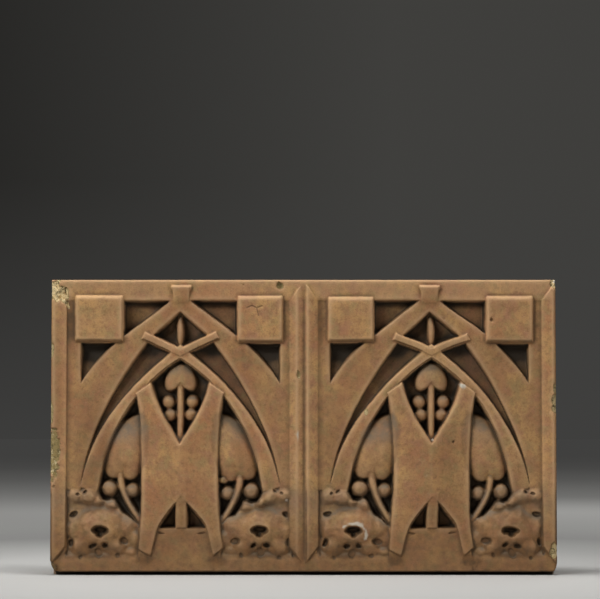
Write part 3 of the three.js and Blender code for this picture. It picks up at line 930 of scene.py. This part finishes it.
def cells(x, z):
    """Depth of the back, hollowed by two drafted cells with rounded corners."""
    near, far = WEB / 2, WIDTH / 2 - SHELL
    reach_x = (far - near) / 2 - CELL_RADIUS
    reach_z = HEIGHT / 2 - SHELL - CELL_RADIUS
    dx = np.abs(np.abs(x) - (near + far) / 2) - reach_x
    dz = np.abs(z - HEIGHT / 2) - reach_z
    outside = np.hypot(np.maximum(dx, 0), np.maximum(dz, 0)) + np.minimum(np.maximum(dx, dz), 0)
    within = CELL_RADIUS - outside
    wall = BACK + (CELL_FLOOR - BACK) * within / CELL_DRAFT
    floor = CELL_FLOOR + CELL_ROUGHNESS * rough_noise(x, z, 30, 91)
    rim = BACK + RIM_ROUGHNESS * (1 + noise(x, z, 18, 95))
    return smooth_max(rim, smooth_min(floor, wall, CELL_SOFTNESS), RIM_SOFTNESS)


# Sides: depths of the rings of vertices round the block, from the face to the back
SIDE_ROWS = (-8, -11, -14, REBATE_FLOOR, REBATE_FLOOR - 0.6, -22, -30, -42, -56, -70, -84, -95, -97.8)
SIDE_ROUGHNESS = 0.25
SIDE_CLEARANCE = 0.4
BACK_ROUND_DEPTH = -96
BACK_ROUND = 1.2
BACK_INSET = 2

# Lower front corners, rubbed round: the wear on the left and right, and where it sets in
CORNER_WEAR = (7, 5)
CORNER_TOP = 17
CORNER_FULL = 2
CORNER_WIDTH = 20
CORNER_DEPTHS = (-40, -12)


def worn_corners(points):
    x, y, z = points.T
    near = np.clip((CORNER_TOP - z) / (CORNER_TOP - CORNER_FULL), 0, 1) ** 2
    near *= smooth_step(*CORNER_DEPTHS, y)
    near *= smooth_step(WIDTH / 2 - CORNER_WIDTH, WIDTH / 2, np.abs(x))
    rubbed = np.where(x < 0, *CORNER_WEAR) * near
    return np.stack((x - np.sign(x) * rubbed, y, z), -1)


def side_ring(rim, depth):
    """Ring of vertices at one depth, set in from the rim of the face and rough, with the foot rebate."""
    count = len(rim)
    in_rebate = depth >= REBATE_FLOOR
    low = REBATE_HEIGHT if in_rebate else 0
    upright = mixed(0, HEIGHT, (rim[:, 2] - REBATE_HEIGHT) / (HEIGHT - REBATE_HEIGHT))
    z = rim[:, 2] if in_rebate else upright
    behind_face = np.minimum(rim[:, 1] - SIDE_CLEARANCE, depth)
    level = behind_face if depth > REBATE_FLOOR else np.full(count, depth)
    rough = rough_noise(np.arange(count) * CELL, np.full(count, -depth), 14, 101)
    inset = np.where(depth < BACK_ROUND_DEPTH, BACK_ROUND, SIDE_ROUGHNESS * (1 + rough))
    x = np.clip(rim[:, 0], -WIDTH / 2 + inset, WIDTH / 2 - inset)
    return np.stack((x, level, np.clip(z, low, HEIGHT - inset)), -1)


def back_points(rows, columns):
    across = np.linspace(-WIDTH / 2 + BACK_INSET, WIDTH / 2 - BACK_INSET, columns + 1)
    up = np.linspace(BACK_INSET, HEIGHT - BACK_INSET, rows + 1)
    x, z = np.meshgrid(across, up)
    return np.stack((x, cells(x, z), z), -1).reshape(-1, 3)


def block_arrays():
    """Vertices and triangles of the closed block, and how many vertices are on the carved face."""
    points = [np.stack((face_x, face, face_z), -1).reshape(-1, 3)]
    faces = [grid_faces(ROWS, COLUMNS)]
    on_face = total = len(points[0])
    previous = border(ROWS, COLUMNS)
    rim = points[0][previous]
    for depth in SIDE_ROWS:
        points.append(side_ring(rim, depth))
        current = total + np.arange(len(rim))
        total += len(rim)
        faces += [
            np.stack((previous, current, np.roll(current, -1)), -1),
            np.stack((previous, np.roll(current, -1), np.roll(previous, -1)), -1),
        ]
        previous = current
    back_rows, back_columns = ROWS // 2, COLUMNS // 2
    points.append(back_points(back_rows, back_columns))
    faces.append(grid_faces(back_rows, back_columns, total)[:, ::-1])
    coarse = border(back_rows, back_columns, total)
    following = np.roll(coarse, -1)
    start, middle = previous[::2], previous[1::2]
    faces += [
        np.stack((start, coarse, middle), -1),
        np.stack((middle, coarse, following), -1),
        np.stack((middle, following, np.roll(start, -1)), -1),
    ]
    return worn_corners(np.concatenate(points)), np.concatenate(faces), on_face


def make_mesh(name, points, faces):
    mesh = bpy.data.meshes.new(name)
    mesh.vertices.add(len(points))
    mesh.vertices.foreach_set("co", points.astype(np.float32).ravel())
    mesh.loops.add(faces.size)
    mesh.loops.foreach_set("vertex_index", faces.astype(np.int32).ravel())
    mesh.polygons.add(len(faces))
    mesh.polygons.foreach_set("loop_start", np.arange(0, faces.size, 3, dtype=np.int32))
    mesh.update(calc_edges=True)
    mesh.validate()
    return mesh


def sampled(grid, x, z):
    """Value of a grid of the face at any place, linear between its points."""
    column = np.clip((x + WIDTH / 2) / WIDTH * COLUMNS, 0, COLUMNS)
    row = np.clip((z - REBATE_HEIGHT) / (HEIGHT - REBATE_HEIGHT) * ROWS, 0, ROWS)
    i = np.minimum(row.astype(int), ROWS - 1)
    j = np.minimum(column.astype(int), COLUMNS - 1)
    low = mixed(grid[i, j], grid[i, j + 1], column - j)
    high = mixed(grid[i + 1, j], grid[i + 1, j + 1], column - j)
    return mixed(low, high, row - i)


# Even dirt on the sides and back
PLAIN_SIDES = {"grime_and_shade": 0.3, "dust": 0.7}


def build_block():
    points, faces, on_face = block_arrays()
    world = np.stack((points[:, 0], MID_DEPTH - points[:, 1], points[:, 2]), -1) * MM
    dense = make_mesh("dense", world, faces)
    flag = dense.attributes.new("carved", "FLOAT", "POINT")
    flag.data.foreach_set("value", (np.arange(len(points)) < on_face).astype(np.float32))
    block = bpy.data.objects.new("block_of_terracotta", dense)
    bpy.context.scene.collection.objects.link(block)
    thin = block.modifiers.new("thin", "DECIMATE")
    thin.ratio = PIECE_TRIANGLES / len(faces)
    view = bpy.context.evaluated_depsgraph_get()
    mesh = bpy.data.meshes.new_from_object(block.evaluated_get(view))
    block.modifiers.clear()
    block.data = mesh
    bpy.data.meshes.remove(dense)
    mesh.shade_smooth()
    count = len(mesh.vertices)
    place = np.empty(count * 3, np.float32)
    mesh.vertices.foreach_get("co", place)
    x, y, z = place.reshape(-1, 3).T / MM
    rebate_depth = MID_DEPTH - REBATE_FLOOR + 1
    carved = np.empty(count, np.float32)
    mesh.attributes["carved"].data.foreach_get("value", carved)
    masks = {"dirt_and_shade": dirt_and_shade(), "grime_and_shade": grime_and_shade(), "dust": dust(), "wear_and_highlight": wear_and_highlight(),
             "chip": chip_mask, "plaster": plaster()}
    for name, grid in masks.items():
        layer = mesh.attributes.new(name, "FLOAT", "POINT")
        value = mixed(PLAIN_SIDES.get(name, 0), sampled(grid, x, z), carved)
        if name == "dirt_and_shade":
            # The foot rebate is painted fully dark: painted shadow in the gap under the front arris
            value = np.where((z < REBATE_HEIGHT + 0.1) & (y < rebate_depth), 1, value)
        layer.data.foreach_set("value", value.astype(np.float32))
    return block


def add_node(tree, kind, **values):
    node = tree.nodes.new(kind)
    for name, value in values.items():
        setattr(node, name, value)
    return node


def spread(tree, value, low, high, bottom=0, top=1):
    node = add_node(tree, "ShaderNodeMapRange")
    limits = {"From Min": low, "From Max": high, "To Min": bottom, "To Max": top}
    for name, limit in limits.items():
        node.inputs[name].default_value = limit
    tree.links.new(value, node.inputs["Value"])
    return node.outputs["Result"]


def layered(tree, below, share, above):
    """One colour over another, each a plain colour or the output of a node."""
    node = add_node(tree, "ShaderNodeMix", data_type="RGBA")
    tree.links.new(share, node.inputs["Factor"])
    for socket, colour in ((node.inputs[6], below), (node.inputs[7], above)):
        if isinstance(colour, tuple):
            socket.default_value = (*colour, 1)
        else:
            tree.links.new(colour, socket)
    return node.outputs[2]


# Fired clay: a base colour and the clouds over it, with their noise, range, share and colour
CLAY = (0.44, 0.243, 0.104)
CLAY_CLOUDS = (
    ((12, 4, 0.55), (0.42, 0.6), 1, (0.43, 0.193, 0.081)),
    ((30, 4, 0.55), (0.46, 0.62), 0.85, (0.54, 0.306, 0.114)),
    ((48, 5, 0.6), (0.48, 0.64), 0.85, (0.37, 0.174, 0.093)),
    ((64, 4, 0.6), (0.5, 0.66), 0.8, (0.335, 0.228, 0.092)),
    ((190, 4, 0.7), (0.48, 0.68), 0.7, (0.26, 0.133, 0.058)),
    ((480, 3, 0.75), (0.5, 0.75), 0.6, (0.19, 0.1, 0.05)),
    ((330, 3, 0.7), (0.56, 0.74), 0.3, (0.6, 0.39, 0.2)),
)
WORN_AND_LIT_CLAY = (0.62, 0.39, 0.205)
WORN_AND_LIT_SHARE = 0.5
GRIME_AND_SHADE_COLOURS = ((0.2, 0.098, 0.036), (0.115, 0.064, 0.028))
DUST_COLOUR = (0.22, 0.163, 0.108)
DIRT_AND_SHADE_COLOUR = (0.034, 0.024, 0.014)
PLASTER_COLOUR = (0.56, 0.51, 0.42)

# Broken clay: old breaks are dull and fresh ones buff, with darker and paler clouds
OLD_BREAK = (0.3, 0.22, 0.085)
FRESH_BREAK = (0.82, 0.62, 0.33)
BREAK_CLOUDS = (
    ((230, 4, 0.65), (0.5, 0.62), 1, (0.15, 0.115, 0.045)),
    ((300, 3, 0.65), (0.55, 0.66), 0.8, (0.68, 0.56, 0.32)),
)

# Patches, as a noise scale and its range, and the smoothest and roughest clay
PATCHES = {"grime_and_shade": (110, 0.35, 0.65), "dust": (70, 0.25, 0.6), "roughness": (90, 0.2, 0.8)}
CLAY_ROUGHNESS = (0.58, 0.82)
CLAY_SPECULAR = 0.3
GRAIN = {"strength": 0.5, "height": 0.001, "noise": (420, 5, 0.7)}


def terracotta():
    material = bpy.data.materials.new("terracotta")
    material.use_nodes = True
    tree = material.node_tree
    shader = tree.nodes["Principled BSDF"]
    place = add_node(tree, "ShaderNodeTexCoord").outputs["Object"]

    def clouds(scale, detail=4, roughness=0.55):
        node = add_node(tree, "ShaderNodeTexNoise")
        node.inputs["Scale"].default_value = scale
        node.inputs["Detail"].default_value = detail
        node.inputs["Roughness"].default_value = roughness
        tree.links.new(place, node.inputs["Vector"])
        return node.outputs["Fac"]

    def clouded(colour, layers):
        for cloud, limits, share, above in layers:
            colour = layered(tree, colour, spread(tree, clouds(*cloud), *limits, top=share), above)
        return colour

    def patches(name, *ends):
        scale, *limits = PATCHES[name]
        return spread(tree, clouds(scale), *limits, *ends)

    def mask(name):
        return add_node(tree, "ShaderNodeAttribute", attribute_name=name).outputs["Fac"]

    colour = clouded(CLAY, CLAY_CLOUDS)
    colour = layered(tree, colour, spread(tree, mask("wear_and_highlight"), 0, 1, top=WORN_AND_LIT_SHARE), WORN_AND_LIT_CLAY)
    lighter_grime_and_shade, darker_grime_and_shade = GRIME_AND_SHADE_COLOURS
    grime_and_shade_colour = layered(tree, lighter_grime_and_shade, patches("grime_and_shade"), darker_grime_and_shade)
    colour = layered(tree, colour, mask("grime_and_shade"), grime_and_shade_colour)
    dusty = add_node(tree, "ShaderNodeMath", operation="MULTIPLY")
    tree.links.new(mask("dust"), dusty.inputs[0])
    tree.links.new(patches("dust"), dusty.inputs[1])
    colour = layered(tree, colour, dusty.outputs[0], DUST_COLOUR)
    colour = layered(tree, colour, mask("dirt_and_shade"), DIRT_AND_SHADE_COLOUR)
    broken = layered(tree, OLD_BREAK, spread(tree, mask("chip"), 0.5, 1), FRESH_BREAK)
    broken = clouded(broken, BREAK_CLOUDS)
    colour = layered(tree, colour, spread(tree, mask("chip"), 0.1, 0.5), broken)
    colour = layered(tree, colour, mask("plaster"), PLASTER_COLOUR)
    tree.links.new(colour, shader.inputs["Base Color"])

    tree.links.new(patches("roughness", *CLAY_ROUGHNESS), shader.inputs["Roughness"])
    shader.inputs["Specular IOR Level"].default_value = CLAY_SPECULAR

    bump = add_node(tree, "ShaderNodeBump")
    bump.inputs["Strength"].default_value = GRAIN["strength"]
    bump.inputs["Distance"].default_value = GRAIN["height"]
    tree.links.new(clouds(*GRAIN["noise"]), bump.inputs["Height"])
    tree.links.new(bump.outputs["Normal"], shader.inputs["Normal"])
    return material


# Floor: distances in metres from the block, with the paper's colour carrying painted light near the block
# and painted shade farther off, and a painted glow
FLOOR_REACH = 30
FLOOR_PAINTED_LIGHT = ((0.42, 0.51), (0.95, 0.235), (2, 0.36), (5, 0.2), (9, 0))
FLOOR_PAINTED_GLOW = ((0.5, 0), (1.2, 0.08), (2.2, 0.13), (3.4, 0.11), (4.8, 0.076), (7, 0.056), (11, 0.05))
FLOOR_TINT = (1, 0.99, 0.955)
FLOOR_ROUGHNESS = 0.9
FLOOR_SPECULAR = 0.1


def floor_material():
    """Pale paper with painted light and shade: bright near the block and fading away from it into the
    shade of the studio behind, with a painted glow over the far part.
    """
    material = bpy.data.materials.new("floor")
    material.use_nodes = True
    tree = material.node_tree
    shader = tree.nodes["Principled BSDF"]
    place = add_node(tree, "ShaderNodeTexCoord").outputs["Object"]
    far = add_node(tree, "ShaderNodeVectorMath", operation="LENGTH")
    tree.links.new(place, far.inputs[0])
    scale = add_node(tree, "ShaderNodeMath", operation="DIVIDE")
    scale.inputs[1].default_value = FLOOR_REACH
    tree.links.new(far.outputs["Value"], scale.inputs[0])
    for socket, stops in (("Base Color", FLOOR_PAINTED_LIGHT), ("Emission Color", FLOOR_PAINTED_GLOW)):
        fade = add_node(tree, "ShaderNodeValToRGB")
        stop_list = fade.color_ramp.elements
        for _ in stops[2:]:
            stop_list.new(0.5)
        for stop, (distance, shade) in zip(stop_list, stops):
            stop.position = distance / FLOOR_REACH
            stop.color = (*(shade * part for part in FLOOR_TINT), 1)
        tree.links.new(scale.outputs[0], fade.inputs["Fac"])
        tree.links.new(fade.outputs["Color"], shader.inputs[socket])
    shader.inputs["Emission Strength"].default_value = 1
    shader.inputs["Roughness"].default_value = FLOOR_ROUGHNESS
    shader.inputs["Specular IOR Level"].default_value = FLOOR_SPECULAR
    return material


def make_floor():
    reach = FLOOR_REACH
    corners = [(-reach, -reach, 0), (reach, -reach, 0), (reach, reach, 0), (-reach, reach, 0)]
    mesh = bpy.data.meshes.new("floor")
    mesh.from_pydata(corners, [], [(0, 1, 2, 3)])
    floor = bpy.data.objects.new("floor", mesh)
    bpy.context.scene.collection.objects.link(floor)
    mesh.materials.append(floor_material())


def aim(thing, target):
    thing.rotation_euler = (Vector(target) - thing.location).to_track_quat("-Z", "Y").to_euler()


def area_light(name, place, target, size, power):
    light = bpy.data.lights.new(name, "AREA")
    light.shape = "RECTANGLE"
    light.size, light.size_y = size
    light.energy = power
    lamp = bpy.data.objects.new(name, light)
    lamp.location = place
    aim(lamp, target)
    bpy.context.scene.collection.objects.link(lamp)


# Studio wall behind the floor: its shade by height, and from left to right
WALL_LOW = (0.05, 0.0495, 0.0478)
WALL_LEFT = (0.021, 0.0205, 0.019)
WALL_RIGHT = (0.05, 0.049, 0.0455)
WALL_ACROSS = (-0.14, 0.04)
WALL_UP = (-0.02, 0.11)


def world_shade():
    """Dark studio wall, a little lighter towards the floor and to the right."""
    world = bpy.data.worlds.new("studio")
    bpy.context.scene.world = world
    world.use_nodes = True
    tree = world.node_tree
    place = add_node(tree, "ShaderNodeTexCoord").outputs["Generated"]
    parts = add_node(tree, "ShaderNodeSeparateXYZ")
    tree.links.new(place, parts.inputs[0])
    wall = layered(tree, WALL_LEFT, spread(tree, parts.outputs["X"], *WALL_ACROSS), WALL_RIGHT)
    colour = layered(tree, WALL_LOW, spread(tree, parts.outputs["Z"], *WALL_UP), wall)
    tree.links.new(colour, tree.nodes["Background"].inputs["Color"])


# Camera: level with the middle of the block and tilted up, as the photograph is framed
IMAGE_WIDTH = 600
SENSOR_WIDTH = 36
FOCAL_PIXELS = 2239
CAMERA_DISTANCE = 2.7
CAMERA_OFFSET = -0.0043
CAMERA_TILT = 3.258


def make_camera():
    data = bpy.data.cameras.new("camera")
    data.sensor_width = SENSOR_WIDTH
    data.lens = SENSOR_WIDTH * FOCAL_PIXELS / IMAGE_WIDTH
    camera = bpy.data.objects.new("camera", data)
    camera.location = (CAMERA_OFFSET, -CAMERA_DISTANCE - DEPTH / 2 * MM, HEIGHT / 2 * MM)
    camera.rotation_euler = (math.radians(90 + CAMERA_TILT), 0, 0)
    bpy.context.scene.collection.objects.link(camera)
    bpy.context.scene.camera = camera


# Soft lights: place, width and height in metres, and power in watts
LIGHTS = {
    "key": ((-1.7, -1.85, 1.42), (1.4, 0.55), 40),
    "top": ((-0.1, -0.2, 1.9), (1.4, 0.4), 31),
    "fill": ((2.2, -1.5, 1), (1.4, 1), 9),
    "back": ((0.8, 2.2, 1.4), (1.5, 1.2), 10),
}

make_camera()
block = build_block()
block.data.materials.append(terracotta())
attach(block, "root")
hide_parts("terracotta_block")

make_floor()
middle = (0, 0, HEIGHT / 2 * MM)
for name, (place, size, power) in LIGHTS.items():
    area_light(name, place, middle, size, power)
world_shade()
bpy.context.scene.view_settings.view_transform = "Standard"
